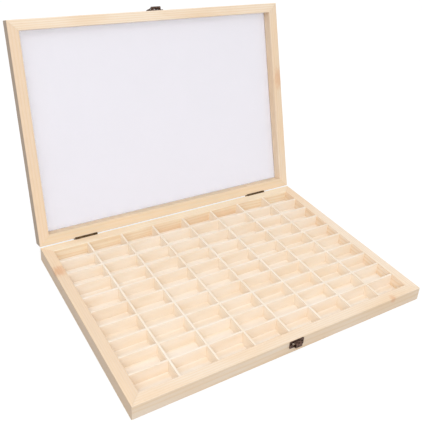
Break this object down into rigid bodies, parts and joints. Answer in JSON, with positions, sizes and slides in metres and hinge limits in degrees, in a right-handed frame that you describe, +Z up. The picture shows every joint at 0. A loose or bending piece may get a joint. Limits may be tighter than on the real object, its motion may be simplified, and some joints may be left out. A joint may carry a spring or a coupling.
{
  "type": "display box",
  "caption": "Shallow wooden tray split into a grid of compartments, with a hinged lid that frames a clear window, stop hinges behind and a folding hasp over a catch in front.",
  "frame": {"origin": "centre of the tray's flat underside", "axes": "+Z up, +X to the right along the front, +Y towards the hinges; the lid stands open"},
  "size_m": [0.325, 0.3258, 0.2437],
  "materials": {
    "frame_wood": "sanded pale pine, unvarnished",
    "divider_wood": "sanded pale basswood strip",
    "plywood": "thin pale plywood",
    "clear_sheet": "clear acrylic sheet",
    "bronze": "dark antique bronze"
  },
  "bodies": {
    "tray": {"tray_front_rail": "frame_wood", "tray_back_rail": "frame_wood", "tray_left_rail": "frame_wood", "tray_right_rail": "frame_wood", "bottom_panel": "plywood", "row_divider_1": "divider_wood", "row_divider_2": "divider_wood", "row_divider_3": "divider_wood", "row_divider_4": "divider_wood", "row_divider_5": "divider_wood", "row_divider_6": "divider_wood", "row_divider_7": "divider_wood", "row_divider_8": "divider_wood", "row_divider_9": "divider_wood", "column_divider_1": "divider_wood", "column_divider_2": "divider_wood", "column_divider_3": "divider_wood", "column_divider_4": "divider_wood", "column_divider_5": "divider_wood", "column_divider_6": "divider_wood", "column_divider_7": "divider_wood", "catch_plate": "bronze", "catch_screws": "bronze", "left_hinge_tray_leaf": "bronze", "left_hinge_pin": "bronze", "left_hinge_tray_screws": "bronze", "right_hinge_tray_leaf": "bronze", "right_hinge_pin": "bronze", "right_hinge_tray_screws": "bronze"},
    "lid": {"lid_front_rail": "frame_wood", "lid_back_rail": "frame_wood", "lid_left_rail": "frame_wood", "lid_right_rail": "frame_wood", "window_panel": "clear_sheet", "hasp_plate": "bronze", "hasp_screws": "bronze", "hasp_pin": "bronze", "left_hinge_lid_leaf": "bronze", "left_hinge_lid_screws": "bronze", "right_hinge_lid_leaf": "bronze", "right_hinge_lid_screws": "bronze"},
    "hasp": {"hasp_flap": "bronze"}
  },
  "joints": [
    {"name": "lid_hinge", "type": "hinge", "parent": "tray", "child": "lid", "pos_m": [0, 0.11795, 0.01515], "axis": [1, 0, 0], "range_deg": [0, 107]},
    {"name": "hasp_hinge", "type": "hinge", "parent": "lid", "child": "hasp", "pos_m": [0, 0.19087, 0.2422], "axis": [1, 0, 0], "range_deg": [0, 190]}
  ]
}
